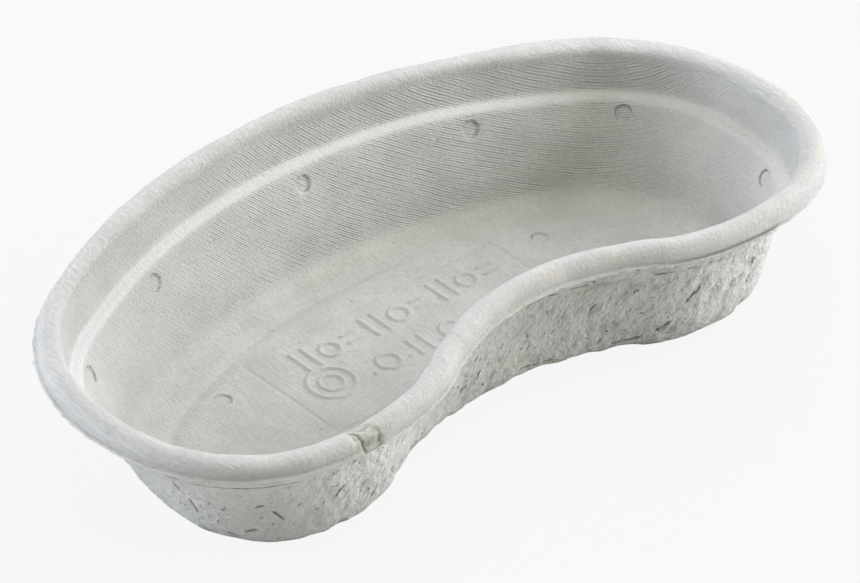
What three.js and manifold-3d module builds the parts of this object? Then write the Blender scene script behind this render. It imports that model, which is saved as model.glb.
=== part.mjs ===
// A disposable kidney dish moulded in one piece from paper pulp.
// Millimetres, +Z up, X along the length, the hollow side faces -Y, the flat underside lies on z = 0.
import * as THREE from 'three';
import * as BufferGeometryUtils from 'three/addons/utils/BufferGeometryUtils.js';
import Module from 'manifold-3d';

// Outline of the rim, seen from above: a back arc, two end arcs and a hollow front arc, all tangent.
const length = 262;
const width = 136.5;
const backRise = 8.75;
const hollowDepth = 19.3;
const lobeFullness = 2.3;

// Height, and how far the two ends of the rim dip below its middle.
const height = 47;
const rimDip = 4.4;

// Thickness of the pulp in the wall, in the floor and at the rim's edge.
const wallThickness = 2.7;
const floorThickness = 2.6;
const rimThickness = 2.2;
const edgeThickness = 1;

// The rolled rim: its radius, the straight skirt below the roll, and the flat edge that sticks out at its foot.
const rimRadius = 3.4;
const skirtLength = 2.3;
const edgeLength = 1.5;

// The upper wall leans in by upperLean, then the nesting shoulder steps in by shoulderStep.
const upperLean = 1.9;
const shoulderDrop = 12.6;
const shoulderStep = 3.8;
const shoulderRise = 2.6;
const shoulderRadius = 2.4;

// How far the wall leans in from the shoulder to the underside, with its extra at the ends and the back.
const wallLean = 7.9;
const endLean = 8;
const backLean = 4;

// Roundings where the wall meets the floor, inside and outside.
const insideCorner = 9;
const outsideCorner = 6;

// Shallow round marks left by the mould's pins: on the wall below the shoulder, and on the floor.
const pinRadius = 2.65;
const pinDepth = 0.6;
const pinBelowRim = 20.5;
const wallPinAngles = [-30, 44, 72, 90, 108, 136, 210];
const floorPinX = 62;
const floorPinY = 12;

// Number of flats used for the arcs.
const stationSpacing = 6.6;
const cornerSteps = 3;
const rollSteps = 6;
const pinSides = 16;

const rad = THREE.MathUtils.degToRad;
const vector = (x, y) => new THREE.Vector2(x, y);

// The four tangent arcs of the outline.
const endRadius = width / 2 - backRise;
const endX = length / 2 - endRadius;
const endY = endRadius - width / 2;
const backGap = endRadius - width;
const backRadius = (endRadius ** 2 - endX ** 2 - backGap ** 2) / (2 * (backGap + endRadius));
const backY = width / 2 - backRadius;
const frontGap = endRadius - hollowDepth;
const hollowRadius = (endX ** 2 + frontGap ** 2 - endRadius ** 2) / (2 * (endRadius - frontGap));
const hollowY = hollowDepth - width / 2 - hollowRadius;
const backAngle = Math.atan2(endY - backY, endX);
const hollowAngle = Math.atan2(endY - hollowY, endX);

// One arc of the outline as evenly spaced stations, each with a point and its outward direction.
function arcStations(centreX, centreY, radius, from, to, side) {
  const count = Math.ceil((Math.abs(to - from) * radius) / stationSpacing);
  return Array.from({ length: count }, (unused, i) => {
    const angle = from + ((to - from) * i) / count;
    const out = vector(Math.cos(angle) * side, Math.sin(angle) * side);
    const point = vector(centreX + radius * Math.cos(angle), centreY + radius * Math.sin(angle));
    const corner = 4 * out.x ** 2 * (1 - out.x ** 2);
    const fullness = out.y < 0 ? lobeFullness * corner : 0;
    return { point: point.addScaledVector(out, fullness), out };
  });
}

const stations = [
  ...arcStations(endX, endY, endRadius, hollowAngle - Math.PI, backAngle, 1),
  ...arcStations(0, backY, backRadius, backAngle, Math.PI - backAngle, 1),
  ...arcStations(-endX, endY, endRadius, Math.PI - backAngle, 2 * Math.PI - hollowAngle, 1),
  ...arcStations(0, hollowY, hollowRadius, Math.PI - hollowAngle, hollowAngle, -1),
];

// A path through [inset, height, rounding] corners, each corner turned into a short arc.
function roundedPath(corners) {
  const path = [];
  corners.forEach(([inset, level, radius], i) => {
    const corner = vector(inset, level);
    if (!radius) {
      path.push(corner);
      return;
    }
    const before = vector(...corners[i - 1]).sub(corner).normalize();
    const after = vector(...corners[i + 1]).sub(corner).normalize();
    const half = Math.acos(before.dot(after)) / 2;
    const centre = before.clone().add(after).normalize().multiplyScalar(radius / Math.sin(half)).add(corner);
    const start = before.multiplyScalar(radius / Math.tan(half)).add(corner).sub(centre);
    const end = after.multiplyScalar(radius / Math.tan(half)).add(corner).sub(centre);
    const sweep = Math.atan2(start.cross(end), start.dot(end));
    for (let step = 0; step <= cornerSteps; step += 1) {
      path.push(start.clone().rotateAround(vector(0, 0), (sweep * step) / cornerSteps).add(centre));
    }
  });
  return path;
}

// Centre of the rim's roll, placed so that the flat edge ends exactly on the outline.
const rollInset = edgeLength + rimRadius;
const rollLevel = height - rimRadius;
const rollInside = rollInset + rimRadius;
const shoulderTop = rollLevel - shoulderDrop + shoulderRise;
const shoulderFoot = rollLevel - shoulderDrop;
const upperFoot = rollInside + upperLean;
const wallTop = upperFoot + shoulderStep;
const wallFoot = wallTop + wallLean;
const edgeLevel = rollLevel - skirtLength;
const edge = [
  vector(edgeLength, edgeLevel),
  vector(0, edgeLevel),
  vector(0, edgeLevel - edgeThickness),
  vector(edgeLength + rimThickness, edgeLevel - edgeThickness),
];
const floorEdge = wallFoot + 2 * insideCorner;

// An arc of the rolled rim, from the inside of the dish over the top towards the outside.
function rollArc(radius, from, to) {
  return Array.from({ length: rollSteps + 1 }, (unused, i) => {
    const angle = rad(from + ((to - from) * i) / rollSteps);
    return vector(rollInset + radius * Math.cos(angle), rollLevel + radius * Math.sin(angle));
  });
}

// The wall's own section: up the inside from the floor, over the rolled rim, down the outside to the underside.
const inside = roundedPath([
  [floorEdge, floorThickness, 0],
  [wallFoot, floorThickness, insideCorner],
  [wallTop, shoulderFoot, shoulderRadius],
  [upperFoot, shoulderTop, shoulderRadius],
  [rollInside, rollLevel, 0],
]);
const outside = roundedPath([
  [rollInside - rimThickness, rollLevel, 0],
  [upperFoot - wallThickness, shoulderTop, shoulderRadius],
  [wallTop - wallThickness, shoulderFoot, shoulderRadius],
  [wallFoot - wallThickness, 0, outsideCorner],
  [floorEdge, 0, 0],
]);
const rollOver = rollArc(rimRadius, 0, 180).slice(1);
const rollUnder = rollArc(rimRadius - rimThickness, 180, 0).slice(0, -1);
const section = [...inside, ...rollOver, ...edge, ...rollUnder, ...outside.slice(0, -1)];

// Where one point of the section comes at one station: the lean grows at the ends and the back.
function place(station, inset, level) {
  const lean = endLean * station.out.x ** 2 + backLean * station.out.y;
  const below = Math.max(0, 1 - level / shoulderFoot);
  const at = station.point.clone().addScaledVector(station.out, -(inset + lean * below));
  const dip = rimDip * (at.x / (length / 2)) ** 2 * (level / height) ** 2;
  return new THREE.Vector3(at.x, at.y, level - dip);
}

// The shell: rings of the section round the outline, closed by the floor and the underside.
const rings = section.map(({ x, y }) => stations.map((station) => place(station, x, y)));
const positions = rings.flat().flatMap((point) => point.toArray());
const around = stations.length;
const triangles = [];
for (let ring = 0; ring < rings.length - 1; ring += 1) {
  for (let i = 0; i < around; i += 1) {
    const next = (i + 1) % around;
    const low = ring * around;
    const high = low + around;
    triangles.push(low + i, high + next, low + next, low + i, high + i, high + next);
  }
}
function cap(ring, facesUp) {
  const flat = rings[ring].map((point) => vector(point.x, point.y));
  THREE.ShapeUtils.triangulateShape(flat, []).forEach(([a, b, c]) => {
    const corners = facesUp ? [a, b, c] : [a, c, b];
    triangles.push(...corners.map((corner) => corner + ring * around));
  });
}
cap(0, true);
cap(rings.length - 1, false);
const shell = new THREE.BufferGeometry();
shell.setAttribute('position', new THREE.Float32BufferAttribute(positions, 3));
shell.setIndex(triangles);

// Booleans between closed bodies.
const wasm = await Module();
wasm.setup();
function toSolid(geometry) {
  const bare = geometry.clone();
  bare.deleteAttribute('normal');
  bare.deleteAttribute('uv');
  const merged = BufferGeometryUtils.mergeVertices(bare);
  const vertProperties = new Float32Array(merged.attributes.position.array);
  const triVerts = new Uint32Array(merged.index.array);
  return new wasm.Manifold(new wasm.Mesh({ numProp: 3, vertProperties, triVerts }));
}
function toGeometry(solid) {
  const mesh = solid.getMesh();
  const geometry = new THREE.BufferGeometry();
  geometry.setAttribute('position', new THREE.Float32BufferAttribute(mesh.vertProperties, 3));
  geometry.setIndex(Array.from(mesh.triVerts));
  geometry.computeVertexNormals();
  return geometry;
}

// A pin's disc, sunk by pinDepth at a point of the surface whose outward direction is given.
function pinDisc(point, direction) {
  const disc = new THREE.CylinderGeometry(pinRadius, pinRadius, 2 * pinDepth, pinSides);
  const turn = new THREE.Quaternion().setFromUnitVectors(new THREE.Vector3(0, 1, 0), direction);
  return disc.applyQuaternion(turn).translate(...point.toArray());
}
function stationFacing(degrees) {
  const wanted = vector(Math.cos(rad(degrees)), Math.sin(rad(degrees)));
  const convex = stations.filter(({ point, out }) => point.dot(out) > 0 && Math.abs(point.y) < width);
  return convex.reduce((best, station) => (station.out.dot(wanted) > best.out.dot(wanted) ? station : best));
}
const pinLevel = height - pinBelowRim;
const pinInset = wallTop + (wallLean * (shoulderFoot - pinLevel)) / (shoulderFoot - floorThickness);
const wallPins = wallPinAngles.map((degrees) => {
  const station = stationFacing(degrees);
  const point = place(station, pinInset, pinLevel);
  const above = place(station, wallTop, shoulderFoot - shoulderRadius);
  const below = place(station, wallFoot, floorThickness);
  const along = new THREE.Vector3(-station.out.y, station.out.x, 0);
  const direction = above.sub(below).cross(along).normalize();
  return pinDisc(point, direction);
});
const floorPins = [-floorPinX, floorPinX].map((x) => (
  pinDisc(new THREE.Vector3(x, floorPinY, floorThickness), new THREE.Vector3(0, 0, 1))
));
const marked = [...wallPins, ...floorPins].reduce((solid, pin) => solid.subtract(toSolid(pin)), toSolid(shell));

const pulp = new THREE.MeshStandardMaterial({ color: 0xc9cac4, roughness: 0.95, metalness: 0 });
const dish = new THREE.Group();
const dishShell = new THREE.Mesh(toGeometry(marked), pulp);
dishShell.name = 'dish_shell';
dish.add(dishShell);

export default dish;
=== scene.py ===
import math
import bpy
import bmesh
from mathutils import Matrix, Vector, noise


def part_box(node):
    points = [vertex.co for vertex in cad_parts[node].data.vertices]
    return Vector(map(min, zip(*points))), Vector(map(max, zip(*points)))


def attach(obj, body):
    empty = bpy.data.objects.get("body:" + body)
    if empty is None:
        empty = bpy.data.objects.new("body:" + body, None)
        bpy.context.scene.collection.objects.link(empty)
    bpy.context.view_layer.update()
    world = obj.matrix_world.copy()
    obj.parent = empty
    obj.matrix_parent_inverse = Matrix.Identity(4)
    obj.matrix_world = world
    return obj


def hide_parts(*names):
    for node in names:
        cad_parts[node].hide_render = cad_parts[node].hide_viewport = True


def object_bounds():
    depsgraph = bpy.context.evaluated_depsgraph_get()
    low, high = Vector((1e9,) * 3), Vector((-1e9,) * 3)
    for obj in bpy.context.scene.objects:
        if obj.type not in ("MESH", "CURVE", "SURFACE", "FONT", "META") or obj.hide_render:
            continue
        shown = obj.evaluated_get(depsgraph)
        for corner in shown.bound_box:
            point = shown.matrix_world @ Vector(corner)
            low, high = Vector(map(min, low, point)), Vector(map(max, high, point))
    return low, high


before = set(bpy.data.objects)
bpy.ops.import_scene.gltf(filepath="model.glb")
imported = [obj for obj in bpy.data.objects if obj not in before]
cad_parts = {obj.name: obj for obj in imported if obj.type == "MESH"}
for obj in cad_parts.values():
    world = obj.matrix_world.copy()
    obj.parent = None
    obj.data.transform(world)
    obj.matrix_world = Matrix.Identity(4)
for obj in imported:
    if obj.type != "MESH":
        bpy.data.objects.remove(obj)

cad_low, cad_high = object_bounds()

# ---------------------------------------------------------------------------
# The dish's blank: one sheet of recycled paper pulp, drawn on to a wire mould by suction.
# The gauze gives the smooth ribbed inside, and the side away from the mould dries rough.
# It is grown here as rings that climb from the floor, roll over the rim and go down the outside.
# ---------------------------------------------------------------------------
mm = 0.001
shell_low, shell_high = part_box("dish_shell")
dish_length = shell_high.x - shell_low.x
dish_width = shell_high.y - shell_low.y
dish_height = 47 * mm
back_rise = 8.75 * mm
hollow_depth = 19.3 * mm
lobe_fullness = 2.3 * mm
rim_dip = 4.4 * mm
dry_twist = -3.1 * mm

# Four tangent arcs make the outline: two round ends, a wide back and a hollow front.
end_radius = dish_width / 2 - back_rise
end_x = dish_length / 2 - end_radius
end_y = end_radius - dish_width / 2
back_gap = end_radius - dish_width
back_radius = (end_radius ** 2 - end_x ** 2 - back_gap ** 2) / (2 * (back_gap + end_radius))
back_y = dish_width / 2 - back_radius
front_gap = end_radius - hollow_depth
hollow_radius = (end_x ** 2 + front_gap ** 2 - end_radius ** 2) / (2 * (end_radius - front_gap))
hollow_y = hollow_depth - dish_width / 2 - hollow_radius
back_angle = math.atan2(end_y - back_y, end_x)
hollow_angle = math.atan2(end_y - hollow_y, end_x)

end_stations = 138
long_stations = 110
arcs = [
    (end_x, end_y, end_radius, hollow_angle - math.pi, back_angle, 1, end_stations),
    (0, back_y, back_radius, back_angle, math.pi - back_angle, 1, long_stations),
    (-end_x, end_y, end_radius, math.pi - back_angle, 2 * math.pi - hollow_angle, 1, end_stations),
    (0, hollow_y, hollow_radius, math.pi - hollow_angle, hollow_angle, -1, long_stations),
]
stations = []
for centre_x, centre_y, radius, start, stop, side, count in arcs:
    for step in range(count):
        angle = start + (stop - start) * step / count
        out = Vector((math.cos(angle), math.sin(angle), 0)) * side
        point = Vector((centre_x + radius * math.cos(angle), centre_y + radius * math.sin(angle), 0))
        if out.y < 0:
            point += out * lobe_fullness * 4 * out.x ** 2 * (1 - out.x ** 2)
        stations.append((point, out))

# The middle line of the floor, where the rings from the back and from the hollow side meet.
middle_line = []
back_first = end_stations
hollow_first = 2 * end_stations + long_stations
for index, (point, out) in enumerate(stations):
    if index < back_first:
        middle_line.append(Vector((end_x, end_y, 0)))
    elif index < back_first + long_stations:
        facing = stations[(hollow_first + long_stations - (index - back_first)) % len(stations)][0]
        middle_line.append((point + facing) / 2 if index > back_first else Vector((end_x, end_y, 0)))
    elif index < hollow_first:
        middle_line.append(Vector((-end_x, end_y, 0)))
    else:
        facing = stations[back_first + long_stations - (index - hollow_first)][0]
        middle_line.append((point + facing) / 2 if index > hollow_first else Vector((-end_x, end_y, 0)))


corner_steps = 8


def rounded(corners, spacing):
    """A path through (inset, level, rounding) corners, with its points about one spacing apart."""
    path = []
    for index, (inset, level, rounding) in enumerate(corners):
        corner = Vector((inset, level))
        if not rounding:
            path.append(corner)
            continue
        before = (Vector(corners[index - 1][:2]) - corner).normalized()
        after = (Vector(corners[index + 1][:2]) - corner).normalized()
        half = math.acos(max(-1, min(1, before.dot(after)))) / 2
        centre = corner + (before + after).normalized() * rounding / math.sin(half)
        start = corner + before * rounding / math.tan(half) - centre
        stop = corner + after * rounding / math.tan(half) - centre
        sweep = math.atan2(start.x * stop.y - start.y * stop.x, start.dot(stop))
        for step in range(corner_steps + 1):
            turn = sweep * step / corner_steps
            path.append(centre + Vector((
                start.x * math.cos(turn) - start.y * math.sin(turn),
                start.x * math.sin(turn) + start.y * math.cos(turn),
            )))
    reach = [0]
    for a, b in zip(path, path[1:]):
        reach.append(reach[-1] + (b - a).length)
    total = max(1, round(reach[-1] / spacing))
    spaced = []
    for step in range(total + 1):
        want = reach[-1] * step / total
        leg = max(i for i in range(len(path)) if reach[i] <= want + 1e-9)
        if leg == len(path) - 1:
            spaced.append(path[-1])
        else:
            share = (want - reach[leg]) / (reach[leg + 1] - reach[leg])
            spaced.append(path[leg].lerp(path[leg + 1], share))
    return spaced


# Thickness of the pulp, the rolled rim, the nesting shoulder, and the lean of the wall below it.
wall_thickness = 2.7 * mm
floor_thickness = 2.6 * mm
rim_thickness = 2.2 * mm
rim_radius = 3.4 * mm
edge_length = 1.5 * mm
upper_lean = 1.9 * mm
shoulder_drop = 12.6 * mm
shoulder_step = 3.8 * mm
shoulder_rise = 1.1 * mm
wall_lean = 7.9 * mm
end_lean = 8 * mm
back_lean = 4 * mm

roll_inset = edge_length + rim_radius
roll_level = dish_height - rim_radius
roll_inside = roll_inset + rim_radius
shoulder_top = roll_level - shoulder_drop + shoulder_rise
shoulder_foot = roll_level - shoulder_drop
upper_foot = roll_inside + upper_lean
wall_top = upper_foot + shoulder_step
wall_foot = wall_top + wall_lean
floor_edge = 30.5 * mm

# The section inside and outside: crisp on the gauze, softer through the thickness of the pulp.
inside_corner, ledge_foot_rounding, ledge_top_rounding, inside_spacing = 6 * mm, 1.7 * mm, 1.3 * mm, 1.3 * mm
inside_path = rounded([
    (floor_edge, floor_thickness, 0),
    (wall_foot, floor_thickness, inside_corner),
    (wall_top, shoulder_foot, ledge_foot_rounding),
    (upper_foot, shoulder_top, ledge_top_rounding),
    (roll_inside, roll_level, 0),
], inside_spacing)
outside_corner, felt_foot_rounding, felt_top_rounding, outside_spacing = 6.5 * mm, 5 * mm, 4 * mm, 0.95 * mm
outside_path = rounded([
    (roll_inside - rim_thickness, roll_level - 1.2 * mm, 0),
    (upper_foot - wall_thickness, shoulder_top, felt_top_rounding),
    (wall_top - wall_thickness, shoulder_foot, felt_foot_rounding),
    (wall_foot - wall_thickness, 0, outside_corner),
    (floor_edge, 0, 0),
], outside_spacing)

# Each row of the section: (inset, level, share of rim, share of felt, share from middle line to floor edge).
floor_rows = 23
underside_rows = 9
roll_rows = 11
roll_under_rows = 4
rim_blend = 2.5 * mm
rows = [(floor_edge, floor_thickness, 0, 0, step / floor_rows) for step in range(floor_rows)]
for point in inside_path:
    rim = max(0, min(1, (point.y - roll_level + rim_blend) / rim_blend))
    rows.append((point.x, point.y, rim, 0, 1))
for step in range(1, roll_rows + 1):
    angle = math.pi * step / roll_rows
    rows.append((roll_inset + rim_radius * math.cos(angle), roll_level + rim_radius * math.sin(angle), 1, 0, 1))
# The short skirt below the roll and the lip that sticks out at its foot, in millimetres in from the outline and down.
skirt = [(1.5, 0.8), (1.5, 1.6), (1.42, 2.05), (1.1, 2.3), (0.6, 2.34), (0.15, 2.5)]
lip = [(0.02, 2.85), (0.3, 3.2), (1.2, 3.3), (2.6, 3.2), (3.4, 2.4)]
for inset, drop in skirt:
    rows.append((inset * mm, roll_level - drop * mm, 1, 0, 1))
lip_row = len(rows)
for inset, drop in lip:
    rows.append((inset * mm, roll_level - drop * mm, 1, 1, 1))
under_radius = rim_radius - rim_thickness
for step in range(roll_under_rows):
    angle = math.pi * (1 - step / roll_under_rows)
    rows.append((roll_inset + under_radius * math.cos(angle), roll_level + under_radius * math.sin(angle), 1, 1, 1))
for index, point in enumerate(outside_path):
    rows.append((point.x, point.y, max(0, 1 - index / 3), 1, 1))
for step in range(1, underside_rows + 1):
    rows.append((floor_edge, 0, 0, 1, 1 - step / underside_rows))


def smooth_step(low, high, value):
    """From 0 at low to 1 at high, with soft ends; low may be the larger."""
    t = max(0, min(1, (value - low) / (high - low)))
    return t * t * (3 - 2 * t)


# How the dish dried out of true: the edge folded at the right end, the ledge bent, the front left sagged.
fold_start, fold_end, fold_draw = 62 * mm, 104 * mm, 1.2 * mm
ledge_level, ledge_reach, ledge_lift, ledge_fall = 32 * mm, 11 * mm, 0.8 * mm, 2.3 * mm
sag, sag_at, sag_reach = 1.0 * mm, -84 * mm, 32 * mm
twist_x, twist_y = 131 * mm, 70 * mm


def settle(point, out, middle, row):
    """One vertex of the blank: the lean grows at the ends and the back, and the rim dried slightly bowed."""
    inset, level, rim, felt, share = row
    lean = (end_lean * out.x ** 2 + back_lean * out.y) * max(0, 1 - level / shoulder_foot)
    # At the right end the edge has folded in flush with the roll.
    outer = max(0, min(1, (roll_inside - inset) / (roll_inside - roll_inset)))
    folded = rim * outer * smooth_step(fold_start, fold_end, point.x)
    inset += folded * (max(inset, edge_length) - inset - fold_draw)
    at = point - out * (inset + lean)
    at = middle.lerp(at, share)
    # The nesting shoulder sits a little high along the back and drops towards the two ends.
    beside = smooth_step(45 * mm, 100 * mm, abs(at.x))
    nearby = max(0, 1 - abs(level - ledge_level) / ledge_reach)
    level += (ledge_lift - ledge_fall * beside) * nearby * min(1, share)
    # The ends dip, the front left sags, and the whole rim is twisted a little.
    lift = (level / dish_height) ** 2
    level -= rim_dip * (at.x / (dish_length / 2)) ** 2 * lift
    slack = max(0, min(1, (-at.y - 25 * mm) / (30 * mm)))
    level -= sag * slack * math.exp(-((at.x - sag_at) / sag_reach) ** 2) * lift * lift
    level += dry_twist * at.x * at.y / (twist_x * twist_y) * lift
    return Vector((at.x, at.y, level))


pulp = bmesh.new()
felt_mark = pulp.verts.layers.float.new("felt_side")
rim_mark = pulp.verts.layers.float.new("rim_share")
along_mark = pulp.verts.layers.float.new("along_section")
spot_mark = pulp.verts.layers.int.new("station")
ring = bmesh.ops.create_circle(pulp, segments=len(stations), radius=end_radius)["verts"]
for index, vert in enumerate(ring):
    vert[spot_mark] = index
ring_edges = pulp.edges[:]
for number, row in enumerate(rows):
    if number:
        grown = bmesh.ops.extrude_edge_only(pulp, edges=ring_edges)["geom"]
        ring = [part for part in grown if isinstance(part, bmesh.types.BMVert)]
        newest = set(ring)
        ring_edges = [
            part for part in grown
            if isinstance(part, bmesh.types.BMEdge) and part.verts[0] in newest and part.verts[1] in newest
        ]
    for vert in ring:
        point, out = stations[vert[spot_mark]]
        vert.co = settle(point, out, middle_line[vert[spot_mark]], row)
        vert[rim_mark] = row[2]
        vert[felt_mark] = row[3]
        vert[along_mark] = number
bmesh.ops.remove_doubles(pulp, verts=pulp.verts, dist=1e-6)
bmesh.ops.recalc_face_normals(pulp, faces=pulp.faces)

# ---------------------------------------------------------------------------
# The moulded marks: pin marks on the wall and the floor, and a raised panel of plain shapes on the floor.
# The mould's own discs and plate press them into the wet pulp, so they are soft-edged and under 1 mm deep.
# The mesh is cut finer beside them, and where the drying cracks and the rim's dent will come.
# ---------------------------------------------------------------------------
pin_radius = 2.65 * mm
pin_level = dish_height - 20.5 * mm
pin_inset = wall_top + wall_lean * (shoulder_foot - pin_level) / (shoulder_foot - floor_thickness)
floor_pin_x, floor_pin_y = 62 * mm, 12 * mm
wall_pin_angles = (-30, 43, 72, 89, 108, 135, 210)
pins = [Vector((side * floor_pin_x, floor_pin_y, floor_thickness)) for side in (-1, 1)]
convex = [s for s in stations[:hollow_first] if s[0].dot(s[1]) > 0]
for degrees in wall_pin_angles:
    facing = Vector((math.cos(math.radians(degrees)), math.sin(math.radians(degrees)), 0))
    point, out = max(convex, key=lambda s: s[1].dot(facing))
    pins.append(settle(point, out, Vector((0, 0, 0)), (pin_inset, pin_level, 0, 0, 1)))


def segment_gap(x, y, ax, ay, bx, by):
    """Distance in the plane from a point to a straight stroke."""
    dx, dy = bx - ax, by - ay
    t = max(0, min(1, ((x - ax) * dx + (y - ay) * dy) / (dx * dx + dy * dy)))
    return math.hypot(x - ax - t * dx, y - ay - t * dy)


def shape_gap(x, y, kind, numbers):
    """Distance in the plane from a point to a stroke or to a ring's line."""
    if kind == "bar":
        return segment_gap(x, y, *numbers)
    return abs(math.hypot(x - numbers[0], y - numbers[1]) - numbers[2])


# Strokes and rings of the panel in millimetres: (kind, numbers). The upper row repeats bars, ring, dashes.
sign_start, sign_pitch, sign_low, sign_high = -31.5, 8.9, 6.5, 15.5
panel_shapes = []
for index in range(9):
    x = sign_start + sign_pitch * index
    if index % 3 == 0:
        panel_shapes += [("bar", (x + side, sign_low, x + side, sign_high)) for side in (-2.2, 2.2)]
    elif index % 3 == 1:
        panel_shapes += [("ring", (x, 10.2, 3.1))]
    else:
        panel_shapes += [("bar", (x - 2.6, y, x + 2.6, y)) for y in (9, 12.6)]
panel_shapes += [("ring", (-33, -2.2, 7.2)), ("ring", (-33, -2.2, 3.6))]
panel_shapes += [("bar", (-20.5, -7, -20.4, -7)), ("ring", (-13.5, -5, 3.6)), ("bar", (-6.6, -7, -6.5, -7))]
panel_shapes += [("bar", (x, -8.5, x, -1)) for x in (-3.2, 1.2)]
panel_shapes += [("bar", (5.4, -7, 5.5, -7)), ("ring", (11, -5, 3.4))]
frame_corners = [(-47, -21), (-47, 21), (49, 19.5), (49, -21)]
stroke_half, stroke_soft, stroke_height = 0.6, 0.32, 0.58
line_half, line_soft, line_depth = 0.28, 0.3, 0.38


def raised(gap, half, soft):
    """1 on a stroke, 0 away from it, with a soft shoulder."""
    return smooth_step(half + soft, half - soft, gap)


def panel_height(x, y):
    """How far the panel lifts the floor here, or the line round it sinks it."""
    x, y = x / mm, y / mm
    if not -52 < x < 54 or not -25 < y < 25:
        return 0
    lift = max(raised(shape_gap(x, y, *shape), stroke_half, stroke_soft) for shape in panel_shapes)
    sides = zip(frame_corners, frame_corners[1:] + frame_corners[:1])
    frame_gap = min(segment_gap(x, y, *a, *b) for a, b in sides)
    return stroke_height * lift * mm - line_depth * raised(frame_gap, line_half, line_soft) * mm


def close_to_mark(face):
    """Whether a face of the floor lies beside one of the panel's strokes or its line."""
    at = face.calc_center_median()
    if face.verts[0][felt_mark] > 0:
        return False
    if at.z < floor_thickness + 0.1 * mm and -49 * mm < at.x < 51 * mm and -23 * mm < at.y < 22.5 * mm:
        x, y = at.x / mm, at.y / mm
        near = min(shape_gap(x, y, *shape) for shape in panel_shapes)
        edge = min(abs(x + 47), abs(x - 49), abs(y - 20.3), abs(y + 21))
        return near < 1.7 or edge < 1.1
    return False


def cut_finer(faces, cuts):
    edges = list(dict.fromkeys(edge for face in faces for edge in face.edges))
    bmesh.ops.subdivide_edges(pulp, edges=edges, cuts=cuts, use_grid_fill=True)


def even_out():
    """Faces left with more than four corners beside a finer patch become triangles."""
    bmesh.ops.triangulate(pulp, faces=[face for face in pulp.faces if len(face.verts) > 4])


cut_finer([face for face in pulp.faces if close_to_mark(face)], 2)
for pin in pins:
    cut_finer([
        face for face in pulp.faces
        if face.verts[0][felt_mark] == 0 and abs((face.calc_center_median() - pin).length - pin_radius) < 1.2 * mm
    ], 3)

# Drying cracks of the felt side's front: (x, level, slope in degrees, half length, depth), in millimetres.
crack_sizes = [
    (-113, 21, -80, 2.5, 0.6), (-108, 7, 10, 3.7, 0.6), (-109, 13, -74, 2.7, 0.7), (-99, 18, 18, 1.2, 0.6),
    (-94, 13, -50, 2.3, 0.8), (-104, 26, -10, 1.2, 0.6), (-102, 4, -27, 1.5, 0.6), (-99, 7, 22, 1.6, 0.7),
    (-85, 3, 2, 2.6, 1.1), (-77, 17, 60, 2.0, 1.2), (-63, 9, 52, 1.2, 0.9), (-52, 22, 45, 1.0, 0.7),
    (-74, 26, -17, 1.9, 0.9), (-13, 10, 25, 1.2, 0.7), (31, 21, 56, 1.8, 0.6), (52, 9, 35, 2.6, 1.0),
    (60, 19, 52, 3.2, 1.0), (16, 4, -3, 7.0, 0.9), (43, 5, 8, 4.5, 1.0), (85, 20, 28, 1.6, 0.7),
    (77, 17, 10, 2.7, 0.6),
]


def crack_gap(at, crack):
    """Distance from a point to a crack's line, and how far along its half length the nearest spot lies."""
    middle_point, line, half, depth = crack
    reach = at - middle_point
    t = max(-half, min(half, reach.dot(line)))
    return (reach - line * t).length, abs(t) / half


pulp.normal_update()
front_felt = [v for v in pulp.verts if v[felt_mark] == 1 and v[rim_mark] == 0 and v.co.y < 0 and v.co.z > 1 * mm]
cracks = []
for x, level, slope, half, depth in crack_sizes:
    nearest = min(front_felt, key=lambda v: (v.co.x - x * mm) ** 2 + (v.co.z - level * mm) ** 2)
    across = Vector((0, 0, 1)).cross(nearest.normal).normalized()
    rise = nearest.normal.cross(across)
    line = across * math.cos(math.radians(slope)) + rise * math.sin(math.radians(slope))
    cracks.append((nearest.co.copy(), line.normalized(), half * mm, depth * mm))
for crack in cracks:
    beside_crack = []
    for face in pulp.faces:
        at = face.calc_center_median()
        if (at - crack[0]).length < crack[2] + 1.5 * mm and crack_gap(at, crack)[0] < 0.9 * mm:
            beside_crack.append(face)
    cut_finer(beside_crack, 3)
even_out()
dent_at = Vector((-77, -66, 44)) * mm
cut_finer([
    face for face in pulp.faces
    if face.verts[0][felt_mark] == 0 and face.verts[0][rim_mark] > 0
    and (face.calc_center_median() - dent_at).length < 7.5 * mm
], 2)
even_out()

# ---------------------------------------------------------------------------
# The pulp's own surface: an even skin inside, a slightly wavy rolled rim with a torn lip,
# and a lumpy, wrinkled felt side where the stock was thickest. Painted shade for the hollows, creases, cracks and pin
# edges is kept on each vertex for the colour.
# ---------------------------------------------------------------------------
pulp.normal_update()
# Painted shade: how much the colour is darkened in hollows, creases, cracks, pin edges and the fold above the lip.
painted_shade_mark = pulp.verts.layers.float.new("hollow_depth")
stain_mark = pulp.verts.layers.float.new("stain_share")


def lumps(at, size, seed):
    return noise.noise(at / size + Vector((seed, seed * 1.7, -seed * 0.6)))


def wavy(at, waves):
    """Soft waves of several sizes together, each given as (height, width, seed) in millimetres."""
    return mm * sum(height * lumps(at, width * mm, seed) for height, width, seed in waves)


def cells(at, size, seed):
    """Rounded lumps with narrow valleys between them, from 0 in a valley to about 1."""
    near = noise.voronoi(at / size + Vector((seed, -seed, seed * 0.4)))[0]
    return near[1] - near[0]


skin_waves = [(0.25, 28, 3), (0.13, 9, 5), (0.05, 3.5, 7)]
rim_waves = [(0.36, 20, 11), (0.2, 8, 12), (0.07, 3, 13)]


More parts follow.
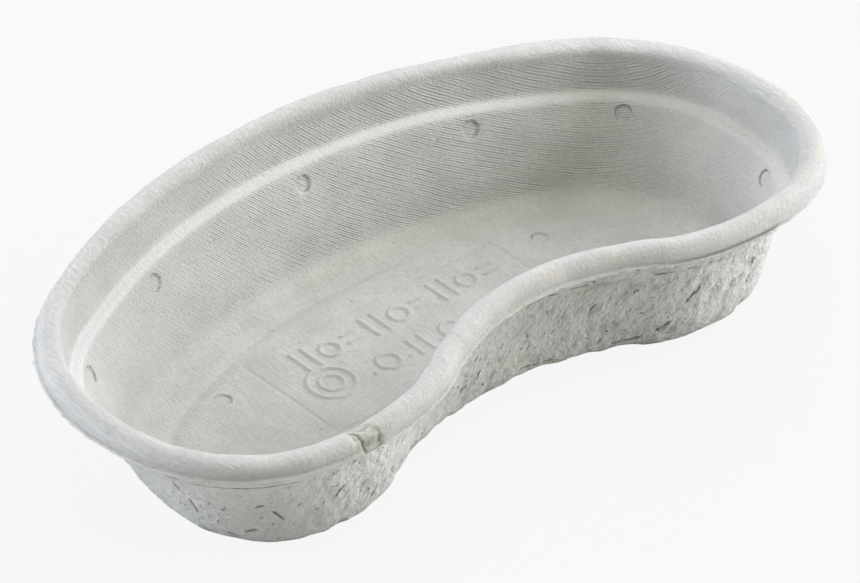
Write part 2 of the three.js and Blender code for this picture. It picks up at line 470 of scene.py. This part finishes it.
def rim_relief(at, rim, along):
    """The rolled rim's push, painted shade and stain: slow waves, a crushed dent with a tear, painted shade in the
    tear, the dent's creases and the fold above the lip, and yellowed patches.
    """
    push = rim * wavy(at, rim_waves)
    dent = (at - dent_at) / mm
    patch = rim * smooth_step(5.2, 3.2, math.hypot(dent.x + 0.2 * dent.y, 0.65 * dent.y))
    creased = lumps(at, 1.8 * mm, 15)
    torn = patch * smooth_step(0.55, 0.1, abs(dent.x + 0.5 * dent.y + 1.6 + 1.2 * lumps(at, 3 * mm, 16)))
    push += mm * patch * (0.45 * creased - 0.5) - 0.5 * mm * torn
    painted_shade = max(0.85 * torn, patch * smooth_step(0.1, 0.5, -creased) * 0.5)
    yellow = smooth_step(0.25, 0.6, lumps(at, 9 * mm, 17)) * smooth_step(0, -20 * mm, at.y)
    # Painted shade in the fold above the lip, along the hollow side.
    fold = smooth_step(2.2, 0.4, abs(along - lip_row + 2.6)) * smooth_step(0, -15 * mm, at.y)
    faint = 0.12 * smooth_step(100 * mm, 85 * mm, at.x)
    dark = 0.85 * smooth_step(34 * mm, 50 * mm, at.x) * smooth_step(86 * mm, 76 * mm, at.x)
    return push, max(painted_shade, fold * (faint + dark)), max(0.75 * patch, 0.5 * rim * yellow)


def skin_relief(at):
    """The floor's and the wall's push and painted shade: the panel, and the pins' discs with a small nub in the
    middle and painted shade round their edges.
    """
    push = panel_height(at.x, at.y) if at.z < floor_thickness + 0.2 * mm else 0
    painted_shade = 0
    for pin in pins:
        gap = (at - pin).length
        if gap < 5 * mm:
            push -= 0.6 * mm * smooth_step(pin_radius + 0.12 * mm, pin_radius - 0.16 * mm, gap)
            push += 0.18 * mm * smooth_step(0.9 * mm, 0.4 * mm, gap)
            # Painted shade in the groove round the disc's edge.
            edge = smooth_step(0.3 * mm, 0.05 * mm, abs(gap - pin_radius + 0.1 * mm))
            painted_shade = 0.75 * edge * smooth_step(-0.35, 0.25, lumps(at, 2.4 * mm, 19))
    return push, painted_shade


streak = Vector((0.62, 0.0, 0.78))


def felt_relief(at, rim):
    """The felt's push and painted shade: lumps drawn along the streaks, wrinkles between them, a soft foot, and
    cracks.
    """
    # How lumpy the stock lay: calm on the left lobe, rough in the hollow and towards the right.
    calm = smooth_step(-74 * mm, -92 * mm, at.x) if at.y < 0 else 0.4
    rough = 1 - 0.68 * calm
    body = 1 - rim
    low = smooth_step(0, 0.8 * mm, at.z)
    foot = smooth_step(1.5 * mm, 6 * mm, at.z)
    drawn = at - streak * 0.45 * at.dot(streak)
    coarse = lumps(at, 7.5 * mm, 21)
    middle = lumps(drawn, 2.9 * mm, 23)
    fine = lumps(drawn, 1.5 * mm, 27)
    push = body * rough * (0.42 * coarse + (0.25 + 0.75 * foot) * (0.50 * middle + 0.34 * fine)) * mm
    push += body * wavy(at, [(0.2, 14, 37)])
    wrinkle = cells(drawn + Vector((coarse, middle, fine)) * 1.8 * mm, 4.4 * mm, 31)
    crease = smooth_step(0.24, 0.0, wrinkle)
    crumpled = 0.6 * smooth_step(30 * mm, 62 * mm, at.x) * (at.y < 0)
    wrinkled = smooth_step(-0.1, 0.35, lumps(at, 17 * mm, 35) + crumpled) * rough
    push += body * mm * wrinkled * (0.3 + 0.7 * foot) * (0.55 * crease - 0.3 * smooth_step(0.25, 0.7, wrinkle))
    near_foot = smooth_step(9 * mm, 2.5 * mm, at.z) * (rough * 0.75 + 0.25) * low
    push += near_foot * wavy(at, [(1.1, 11, 39), (0.45, 4.5, 40)])
    # Painted shade in the low spots between the lumps, and in patches near the foot.
    sunk = 0.3 * smooth_step(0.25, 0.8, -middle - 0.5 * fine) * rough
    foot_shade = 0.55 * smooth_step(6 * mm, 2.5 * mm, at.z) * smooth_step(0.0, 0.6, lumps(drawn, 4 * mm, 49))
    painted_shade = body * (sunk + foot_shade)
    for crack in cracks:
        if (at - crack[0]).length < crack[2] + 2 * mm:
            gap, reach = crack_gap(at, crack)
            cut = smooth_step(0.42 * mm, 0.1 * mm, gap + 0.2 * mm * lumps(at, 1.2 * mm, 51)) * (1 - reach ** 4 * 0.6)
            push -= crack[3] * cut
            # Painted shade in the crack.
            painted_shade = max(painted_shade, cut)
    return push * (0.35 + 0.65 * low), painted_shade


moves = []
for vert in pulp.verts:
    at = vert.co.copy()
    out = vert.normal.copy()
    rim, along = vert[rim_mark], vert[along_mark]
    stain = 0
    if vert[felt_mark] < 0.5:
        if rim > 0:
            push, painted_shade, stain = rim_relief(at, rim, along)
        else:
            push, painted_shade = skin_relief(at)
        push += wavy(at, skin_waves)
        # The floor dips a little just before it turns up into the wall.
        if floor_rows - 8 < along < floor_rows + 4:
            dip = math.exp(-((along - floor_rows + 2.2) / 1.9) ** 2)
            push -= 0.8 * mm * dip * (0.45 + 0.55 * smooth_step(60 * mm, 0, at.x))
    else:
        push, painted_shade = felt_relief(at, rim)
    if abs(along - lip_row) < 4.5 and rim > 0.9:
        near_lip = smooth_step(4.5, 0.5, abs(along - lip_row))
        at.z += near_lip * wavy(at, [(0.28, 6, 41), (0.3, 2.2, 43)])
        ragged = wavy(at, [(0.35, 3.2, 45), (0.35, 1.7, 47)]) - 0.2 * mm
        at += Vector((out.x, out.y, 0)) * near_lip * ragged
    vert[painted_shade_mark] = painted_shade
    vert[stain_mark] = stain
    moves.append((vert, at + out * push))
for vert, moved in moves:
    vert.co = moved

# The flat foot: the felt side rests on the ground, so nothing of it hangs under the floor of the mould.
squash = 0.15
for vert in pulp.verts:
    if vert.co.z < 0:
        vert.co.z *= squash
lowest = min(vert.co.z for vert in pulp.verts)
for vert in pulp.verts:
    vert.co.z -= lowest

dish_mesh = bpy.data.meshes.new("dish_pulp")
pulp.normal_update()
for face in pulp.faces:
    face.smooth = True
    face.material_index = 1 if sum(vert[felt_mark] for vert in face.verts) / len(face.verts) > 0.4 else 0
pulp.to_mesh(dish_mesh)
pulp.free()
dish_pulp = bpy.data.objects.new("dish_pulp", dish_mesh)
bpy.context.collection.objects.link(dish_pulp)
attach(dish_pulp, "root")
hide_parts("dish_shell")


# ---------------------------------------------------------------------------
# Finishes. Grey-white recycled pulp: short fibres, specks of print and bran, faint yellow stains.
# The inside carries the gauze's ribs, the rim its fine cross wires, the outside the bare felt.
# ---------------------------------------------------------------------------
def new_group(name, inputs, outputs):
    group = bpy.data.node_groups.new(name, "ShaderNodeTree")
    for socket, kind, value in inputs:
        made = group.interface.new_socket(socket, in_out="INPUT", socket_type=kind)
        if value is not None:
            made.default_value = value
    for socket, kind in outputs:
        group.interface.new_socket(socket, in_out="OUTPUT", socket_type=kind)
    return group, group.nodes.new("NodeGroupInput"), group.nodes.new("NodeGroupOutput")


def node(tree, kind, links=(), **settings):
    """A new node with its settings, and its inputs joined or set by (socket, value)."""
    made = tree.nodes.new(kind)
    for key, value in settings.items():
        setattr(made, key, value)
    for socket, value in links:
        if isinstance(value, bpy.types.NodeSocket):
            tree.links.new(value, made.inputs[socket])
        else:
            made.inputs[socket].default_value = value
    return made


def sums(tree, operation, a, b=None, clamp=False):
    links = [(index, value) for index, value in enumerate((a, b)) if value is not None]
    return node(tree, "ShaderNodeMath", links, operation=operation, use_clamp=clamp).outputs[0]


def plus(tree, a, b, clamp=False):
    return sums(tree, "ADD", a, b, clamp)


def minus(tree, a, b):
    return sums(tree, "SUBTRACT", a, b)


def times(tree, a, b, clamp=False):
    return sums(tree, "MULTIPLY", a, b, clamp)


def shade(tree, factor, a, b):
    made = node(tree, "ShaderNodeMix", [(0, factor), (6, a), (7, b)], data_type="RGBA", blend_type="MIX")
    return made.outputs[2]


def spread(tree, value, low, high, to_low=0.0, to_high=1.0):
    links = [(0, value), (1, low), (2, high), (3, to_low), (4, to_high)]
    return node(tree, "ShaderNodeMapRange", links, interpolation_type="SMOOTHSTEP").outputs[0]


def clouds(tree, place, scale, detail, **more):
    """A noise texture; more holds its other inputs."""
    links = [("Vector", place), ("Scale", scale), ("Detail", detail)] + list(more.items())
    return node(tree, "ShaderNodeTexNoise", links).outputs[0]


def along(tree, place, direction):
    """How far the place lies along a direction, whose length sets the turns per metre."""
    return node(tree, "ShaderNodeVectorMath", [(0, place), (1, direction)], operation="DOT_PRODUCT").outputs["Value"]


def kept_mark(tree, name):
    return node(tree, "ShaderNodeAttribute", attribute_name=name).outputs["Fac"]


# Colour of the pulp itself, shared by the two sides.
print_speck = (0.13, 0.12, 0.10, 1)
yellow_fleck = (0.62, 0.53, 0.33, 1)
pulp_tone, given, result = new_group(
    "pulp_tone",
    [("Position", "NodeSocketVector", None), ("Base", "NodeSocketColor", (0.6, 0.6, 0.58, 1)),
     ("Shade", "NodeSocketColor", (0.4, 0.4, 0.37, 1)), ("Mottle", "NodeSocketFloat", 0.4),
     ("Specks", "NodeSocketFloat", 0.5), ("Stains", "NodeSocketFloat", 0.0)],
    [("Color", "NodeSocketColor"), ("Fibre", "NodeSocketFloat")],
)
position, base, dark, mottle, specks, stains = given.outputs[:6]
cloud = clouds(pulp_tone, position, 60, 4, Roughness=0.6)
grit = clouds(pulp_tone, position, 900, 3, Roughness=0.7)
fibre_turn = node(pulp_tone, "ShaderNodeMapping", [(0, position), (2, (0.3, 0.5, 0.8)), (3, (1, 0.25, 1))])
fibre = clouds(pulp_tone, fibre_turn.outputs[0], 1000, 4, Roughness=0.75, Distortion=0.6)
mixed = plus(pulp_tone, times(pulp_tone, cloud, 0.5), times(pulp_tone, grit, 0.5))
mottled = times(pulp_tone, spread(pulp_tone, mixed, 0.36, 0.64, 1, 0), mottle)
toned = shade(pulp_tone, mottled, base, dark)
speck = node(pulp_tone, "ShaderNodeTexVoronoi", [("Vector", position), ("Scale", 330), ("Randomness", 1.0)])
speck_size = node(pulp_tone, "ShaderNodeTexWhiteNoise", [(0, speck.outputs["Position"])], noise_dimensions="3D")
speck_reach = spread(pulp_tone, speck_size.outputs[0], 0.90, 1.0, 0.0, 0.16)
speck_on = times(pulp_tone, sums(pulp_tone, "LESS_THAN", speck.outputs[0], speck_reach), specks)
specked = shade(pulp_tone, speck_on, toned, print_speck)
fleck = clouds(pulp_tone, position, 75, 3, Distortion=0.8)
fleck_on = times(pulp_tone, spread(pulp_tone, fleck, 0.60, 0.74), stains)
flecked = shade(pulp_tone, fleck_on, specked, yellow_fleck)
pulp_tone.links.new(flecked, result.inputs[0])
pulp_tone.links.new(fibre, result.inputs[1])

# The gauze: ribs that all lie in one family of planes, with a finer rib between each pair,
# and the cross wires of its weave, which show where the skin lies flat.
rib_direction, wire_direction, weft_direction = (447, 571, 355), (980, -760, 0), (760, 980, 500)
gauze_ribs, given, result = new_group(
    "gauze_ribs",
    [("Position", "NodeSocketVector", None), ("Waver", "NodeSocketFloat", 0.5)],
    [("Ribs", "NodeSocketFloat"), ("Weave", "NodeSocketFloat")],
)
position, waver = given.outputs[:2]
wavering = times(gauze_ribs, clouds(gauze_ribs, position, 180, 2), waver)
bent = plus(gauze_ribs, along(gauze_ribs, position, rib_direction), wavering)
bent = plus(gauze_ribs, bent, times(gauze_ribs, clouds(gauze_ribs, position, 22, 1), 1.2))
turns = times(gauze_ribs, bent, 2 * math.pi)
broad = sums(gauze_ribs, "SINE", turns)
narrow = sums(gauze_ribs, "SINE", times(gauze_ribs, turns, 2.0))
ribs = plus(gauze_ribs, times(gauze_ribs, broad, 0.11), times(gauze_ribs, narrow, 0.26))
whole = spread(gauze_ribs, clouds(gauze_ribs, position, 240, 3), 0.38, 0.58)
broken = times(gauze_ribs, ribs, plus(gauze_ribs, times(gauze_ribs, whole, 0.7), 0.3))
gauze_ribs.links.new(plus(gauze_ribs, broken, 0.5), result.inputs[0])
wires, weft_wires = [
    sums(gauze_ribs, "SINE", times(gauze_ribs, along(gauze_ribs, position, direction), 2 * math.pi))
    for direction in (wire_direction, weft_direction)
]
weave = times(gauze_ribs, plus(gauze_ribs, wires, weft_wires), 0.25)
gauze_ribs.links.new(plus(gauze_ribs, weave, 0.5), result.inputs[1])

# The felt: short streaks of fibre drawn up the wall, small flakes between them, and a few open pits.
streak_turn, streak_stretch = (0.0, 0.75, 0.0), (1.0, 1.0, 1.9)
felt_streaks, given, result = new_group(
    "felt_streaks",
    [("Position", "NodeSocketVector", None)],
    [("Height", "NodeSocketFloat"), ("Pits", "NodeSocketFloat")],
)
position = given.outputs[0]
leant = node(
    felt_streaks, "ShaderNodeMapping", [(0, position), (2, streak_turn), (3, streak_stretch)], vector_type="TEXTURE",
).outputs[0]
drift = clouds(felt_streaks, leant, 360, 3, Roughness=0.5, Distortion=0.8)
nubs = clouds(felt_streaks, position, 460, 4, Roughness=0.55)
tall = plus(felt_streaks, times(felt_streaks, drift, 0.5), times(felt_streaks, nubs, 0.5))
pits = spread(felt_streaks, clouds(felt_streaks, leant, 620, 2, Roughness=0.5), 0.32, 0.26, 0, 1)
felt_streaks.links.new(minus(felt_streaks, tall, times(felt_streaks, pits, 0.3)), result.inputs[0])
felt_streaks.links.new(pits, result.inputs[1])


def new_finish(name):
    """An empty material, its node tree and the place on the object."""
    material = bpy.data.materials.new(name)
    material.use_nodes = True
    material.node_tree.nodes.clear()
    return material, material.node_tree, node(material.node_tree, "ShaderNodeTexCoord").outputs["Object"]


def place_group(tree, group, links):
    return node(tree, "ShaderNodeGroup", links, node_tree=group)


# Inside and rim: ribs on the walls with painted shade in their valleys, weave on the flats, a lighter rim, a painted
# highlight on the ledge, and painted shade in the tears, creases, pin edges and the fold above the lip.
inside_base, inside_dark = (0.46, 0.461, 0.436, 1), (0.345, 0.346, 0.318, 1)
# Painted shade for the rib valleys; a lighter colour for the rim, which is also the painted highlight on the ledge.
rib_valley_shade, rim_and_ledge_light_colour = (0.30, 0.30, 0.275, 1), (0.52, 0.52, 0.515, 1)
# A real yellow stain; the second colour is painted shade for the tears, creases, pin edges and the fold above the
# lip.
yellow_stain, painted_shade_colour = (0.36, 0.345, 0.255, 1), (0.12, 0.118, 0.10, 1)
gauze_side, tree, place = new_finish("pulp_gauze_side")
rim_share = kept_mark(tree, "rim_share")
tone = place_group(tree, pulp_tone, [
    (0, place), (1, inside_base), (2, inside_dark), (3, 0.65), (4, 0.35), (5, times(tree, rim_share, 0.3)),
])
gauze = place_group(tree, gauze_ribs, [(0, place), (1, 0.25)])
rib, weave = gauze.outputs[:2]
part = node(tree, "ShaderNodeSeparateXYZ", [(0, place)])
normal_part = node(tree, "ShaderNodeSeparateXYZ", [(0, node(tree, "ShaderNodeNewGeometry").outputs["Normal"])])
upright = spread(tree, normal_part.outputs[2], 0.55, 0.92, 1, 0)
below_rim = minus(tree, 1.0, rim_share)
strong = times(
    tree,
    spread(tree, part.outputs[1], -30 * mm, 40 * mm, 0.4, 1.3),
    spread(tree, part.outputs[0], -90 * mm, 10 * mm, 0.55, 1.0),
)
rib_share = times(tree, times(tree, upright, below_rim), strong)
rib_height = times(tree, minus(tree, rib, 0.5), times(tree, rib_share, 1.35))
flat_share = minus(tree, 1.0, upright)
weave_height = times(tree, minus(tree, weave, 0.5), times(tree, flat_share, 0.16))
grain = times(tree, tone.outputs[1], plus(tree, times(tree, rim_share, 2.2), 2.8))
height = plus(tree, plus(tree, rib_height, weave_height), grain)
bump = node(tree, "ShaderNodeBump", [("Height", height), ("Strength", 1.0), ("Distance", 0.16 * mm)])
# Painted shade in the rib valleys.
valley_shade = times(tree, minus(tree, 0.5, rib), times(tree, rib_share, 0.75), clamp=True)
rib_tint = shade(tree, valley_shade, tone.outputs[0], rib_valley_shade)
# Painted highlight on the upward-facing ledge, fading to the right; the rim is simply lighter.
on_ledge = times(tree, flat_share, times(tree, spread(tree, part.outputs[2], 25 * mm, 28 * mm), below_rim))
ledge_highlight = times(tree, on_ledge, spread(tree, part.outputs[0], 55 * mm, 110 * mm, 0.8, 0.2))
rim_tone_and_ledge_highlight = plus(tree, times(tree, rim_share, 0.3), ledge_highlight, clamp=True)
brightened = shade(tree, rim_tone_and_ledge_highlight, rib_tint, rim_and_ledge_light_colour)
yellowed = shade(tree, times(tree, kept_mark(tree, "stain_share"), 0.5), brightened, yellow_stain)
# Painted shade from the kept hollow shade.
with_painted_shade = shade(tree, times(tree, kept_mark(tree, "hollow_depth"), 0.85), yellowed, painted_shade_colour)
skin = node(tree, "ShaderNodeBsdfPrincipled", [
    ("Base Color", with_painted_shade), ("Roughness", 0.92), ("Specular IOR Level", 0.25), ("Normal", bump.outputs[0]),
])
node(tree, "ShaderNodeOutputMaterial", [("Surface", skin.outputs[0])])
dish_mesh.materials.append(gauze_side)

# Outside and underside: calmer on the left lobe, with painted shade in the hollows, pits, cracks, low streaks and
# near the foot.
# The last colour is the painted shade.
outside_base, outside_dark, felt_shade_colour = (0.47, 0.472, 0.445, 1), (0.35, 0.352, 0.322, 1), (0.11, 0.106, 0.09, 1)
felt_side, tree, place = new_finish("pulp_felt_side")
tone = place_group(tree, pulp_tone, [
    (0, place), (1, outside_base), (2, outside_dark), (3, 0.6), (4, 0.45), (5, 0.1),
])
crackle = place_group(tree, felt_streaks, [(0, place)])
part = node(tree, "ShaderNodeSeparateXYZ", [(0, place)])
calm = spread(tree, part.outputs[0], -92 * mm, -72 * mm, 0.6, 1.0)
# Painted shade in the pits and low streaks, added to the kept hollow shade.
pits = times(tree, crackle.outputs[1], calm)
low_streak = spread(tree, crackle.outputs[0], 0.47, 0.34, 0, 1)
felt_painted_shade = plus(tree, times(tree, kept_mark(tree, "hollow_depth"), 0.95), times(tree, pits, 0.5), clamp=True)
felt_painted_shade = plus(tree, felt_painted_shade, times(tree, low_streak, times(tree, calm, 0.18)), clamp=True)
colour = shade(tree, felt_painted_shade, tone.outputs[0], felt_shade_colour)
lift = times(tree, plus(tree, crackle.outputs[0], times(tree, tone.outputs[1], 0.1)), calm)
bump = node(tree, "ShaderNodeBump", [("Height", lift), ("Strength", 1.0), ("Distance", 2.1 * mm)])
skin = node(tree, "ShaderNodeBsdfPrincipled", [
    ("Base Color", colour), ("Roughness", 0.95), ("Specular IOR Level", 0.2), ("Normal", bump.outputs[0]),
])
node(tree, "ShaderNodeOutputMaterial", [("Surface", skin.outputs[0])])
dish_mesh.materials.append(felt_side)

# ---------------------------------------------------------------------------
# The ground it stands on: a wide, pale, seamless sheet of paper.
# It takes the dish's shadow faintly, and is looked at as almost even white.
# ---------------------------------------------------------------------------
ground = bmesh.new()
bmesh.ops.create_grid(ground, x_segments=8, y_segments=8, size=3.0)
ground_mesh = bpy.data.meshes.new("ground")
ground.to_mesh(ground_mesh)
ground.free()
ground_sheet = bpy.data.objects.new("ground", ground_mesh)
bpy.context.collection.objects.link(ground_sheet)
paper = bpy.data.materials.new("pale_sheet")
paper.use_nodes = True
tree = paper.node_tree
tree.nodes.clear()
looked_at = node(tree, "ShaderNodeLightPath").outputs["Is Camera Ray"]
dull = node(tree, "ShaderNodeBsdfDiffuse", [("Color", (0.8, 0.8, 0.8, 1))])
glow = node(tree, "ShaderNodeEmission", [("Color", (0.93, 0.93, 0.93, 1)), ("Strength", 1.0)])
mostly = times(tree, looked_at, 0.97)
both = node(tree, "ShaderNodeMixShader", [(0, mostly), (1, dull.outputs[0]), (2, glow.outputs[0])])
node(tree, "ShaderNodeOutputMaterial", [("Surface", both.outputs[0])])
ground_mesh.materials.append(paper)

# ---------------------------------------------------------------------------
# Studio light: a soft box overhead, two from the front right, three weaker cool ones from the left and behind.
# The camera looks down from the front left through a long lens, and is tilted a little.
# ---------------------------------------------------------------------------
centre = (cad_low + cad_high) / 2
soft_boxes = [
    ("overhead", (0.0, 0.0, 1.4), 1.0, 12.9, (1.0, 0.975, 0.965)),
    ("right_key", (0.96, -0.90, 0.48), 0.7, 14.5, (0.98, 0.945, 1.0)),
    ("right_side", (1.24, -0.45, 0.48), 0.7, 16.9, (0.93, 0.905, 1.0)),
    ("left_fill", (-0.98, 0.93, 0.37), 0.7, 22.0, (0.82, 0.84, 1.0)),
    ("left_end", (-1.30, 0.05, 0.48), 0.7, 3.0, (0.85, 0.83, 1.0)),
    ("rear_fill", (0.68, 0.72, 0.99), 0.7, 9.4, (0.81, 0.78, 1.0)),
]
for name, away, size, power, colour in soft_boxes:
    light = bpy.data.lights.new(name, "AREA")
    light.shape = "DISK"
    light.size = size
    light.energy = power
    light.color = colour
    box = bpy.data.objects.new(name, light)
    box.location = centre + Vector(away)
    box.rotation_euler = Vector(away).to_track_quat("Z", "Y").to_euler()
    bpy.context.collection.objects.link(box)

# The room's light is faint and warm; looked at straight, the room is the same pale grey as the sheet.
world = bpy.data.worlds.new("studio")
bpy.context.scene.world = world
world.use_nodes = True
tree = world.node_tree
tree.nodes.clear()
looked_at = node(tree, "ShaderNodeLightPath").outputs["Is Camera Ray"]
room = node(tree, "ShaderNodeBackground", [("Color", (0.82, 1.0, 0.6, 1)), ("Strength", 0.22)])
pale = node(tree, "ShaderNodeBackground", [("Color", (0.92, 0.92, 0.92, 1)), ("Strength", 1.0)])
seen_room = node(tree, "ShaderNodeMixShader", [(0, looked_at), (1, room.outputs[0]), (2, pale.outputs[0])])
node(tree, "ShaderNodeOutputWorld", [("Surface", seen_room.outputs[0])])

azimuth, elevation, tilt = math.radians(-43.1), math.radians(35.68), math.radians(1.53)
aim, distance = Vector((19.9, 15.18, 0)) * mm, 1687.37 * mm
back = Vector((
    math.sin(azimuth) * math.cos(elevation), -math.cos(azimuth) * math.cos(elevation), math.sin(elevation),
))
level_right = Vector((math.cos(azimuth), math.sin(azimuth), 0))
level_up = back.cross(level_right)
right = level_right * math.cos(tilt) + level_up * math.sin(tilt)
up = level_up * math.cos(tilt) - level_right * math.sin(tilt)
lens = bpy.data.cameras.new("camera")
lens.lens = 240.4
lens.sensor_width = 36
lens.clip_end = 20
lens.shift_x = 0.0027
lens.shift_y = 0.0026
camera = bpy.data.objects.new("camera", lens)
camera.location = aim + back * distance
camera.rotation_euler = Matrix((
    (right.x, up.x, back.x), (right.y, up.y, back.y), (right.z, up.z, back.z),
)).to_euler()
bpy.context.collection.objects.link(camera)
bpy.context.scene.camera = camera
bpy.context.scene.view_settings.view_transform = "Standard"
